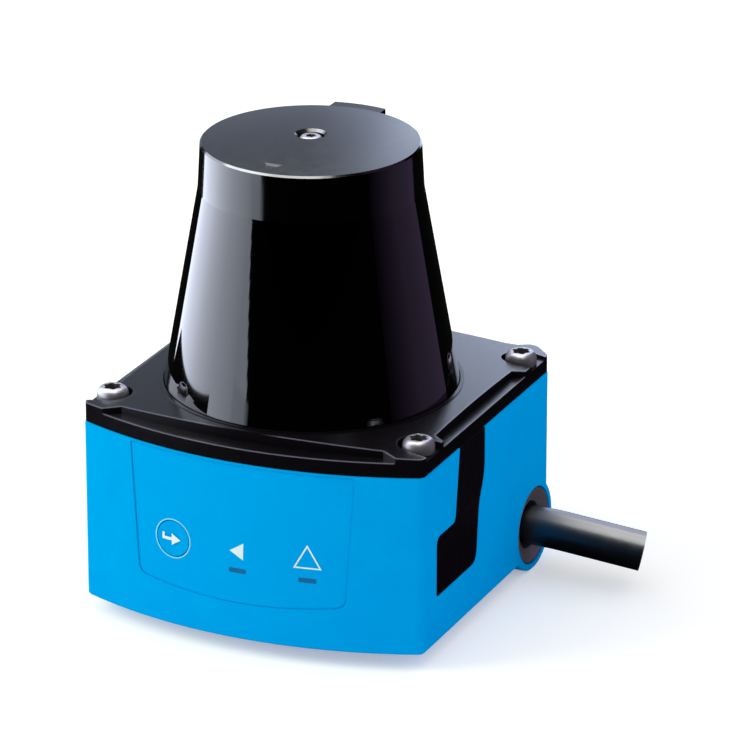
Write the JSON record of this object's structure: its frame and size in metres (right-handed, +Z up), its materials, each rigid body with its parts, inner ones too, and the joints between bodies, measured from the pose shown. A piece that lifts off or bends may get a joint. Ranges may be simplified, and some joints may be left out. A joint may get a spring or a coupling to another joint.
{
  "type": "lidar sensor",
  "caption": "Compact laser scanner: die-cast housing with a crowned cover plate, conical infrared hood over a spinning mirror, label with a button, flap-covered service port and side cable.",
  "frame": {"origin": "on the flat underside of the housing, below the scan axis and midway between the two base holes", "axes": "+Z up along the scan axis, -Y towards the bulged front with the label, +X towards the side with the cable"},
  "size_m": [0.0807, 0.0605, 0.0791],
  "materials": {
    "housing_paint": "satin blue powder paint on die-cast alloy",
    "plate_black": "matte black, finely textured",
    "hood_black": "polished infrared-pass plastic",
    "screw_steel": "satin stainless steel",
    "label_film": "printed film in the housing's blue",
    "clear_plastic": "frosted light guide",
    "cover_rubber": "matte moulded rubber",
    "seal_rubber": "soft seal rubber",
    "gland_metal": "turned, satin",
    "cable_sheath": "satin cable sheath",
    "bracket_alloy": "die-cast, bead blasted",
    "core_steel": "oiled lamination steel",
    "copper_wire": "enamelled copper wire",
    "magnet_grey": "plated magnet",
    "mirror_glass": "first-surface mirror",
    "optic_glass": "polished lens",
    "part_black": "black moulded plastic",
    "board_green": "solder-masked board"
  },
  "bodies": {
    "body": {"housing": "housing_paint", "top_plate": "plate_black", "plate_gasket": "seal_rubber", "cover_screws": "screw_steel", "optics_hood": "hood_black", "hood_screw": "screw_steel", "hood_seal": "seal_rubber", "front_label": "label_film", "button_switch": "part_black", "status_leds": "clear_plastic", "light_pipes": "clear_plastic", "port_socket": "screw_steel", "gland_ring": "gland_metal", "cable_seal": "seal_rubber", "cable_stub": "cable_sheath", "scan_bracket": "bracket_alloy", "bracket_screws": "screw_steel", "motor_stator": "core_steel", "motor_windings": "copper_wire", "motor_bearings": "screw_steel", "encoder_sensor": "part_black", "lens_barrel": "part_black", "receiver_lens": "optic_glass", "laser_tube": "gland_metal", "collimator_lens": "optic_glass", "laser_diode": "gland_metal", "photodiode": "part_black", "main_board": "board_green", "board_parts": "part_black", "front_board": "board_green"},
    "rotor": {"rotor_shaft": "screw_steel", "rotor_bell": "core_steel", "rotor_magnets": "magnet_grey", "encoder_disc": "screw_steel", "mirror_carrier": "bracket_alloy", "scan_mirror": "mirror_glass"},
    "button": {"function_button": "label_film"},
    "port_flap": {"port_cover": "cover_rubber"}
  },
  "joints": [
    {"name": "rotor_spin", "type": "hinge", "parent": "body", "child": "rotor", "pos_m": [0, 0, 0.055], "axis": [0, 0, 1], "continuous": true},
    {"name": "button_press", "type": "slide", "parent": "body", "child": "button", "axis": [0.1549, 0.9879, 0], "range_m": [0, 0.0003], "stiffness_N_per_m": 200},
    {"name": "port_flap_hinge", "type": "hinge", "parent": "body", "child": "port_flap", "pos_m": [0.03, -0.0035, 0.03035], "axis": [0, -1, 0], "range_deg": [0, 100], "stiffness_Nm_per_rad": 0.002}
  ]
}
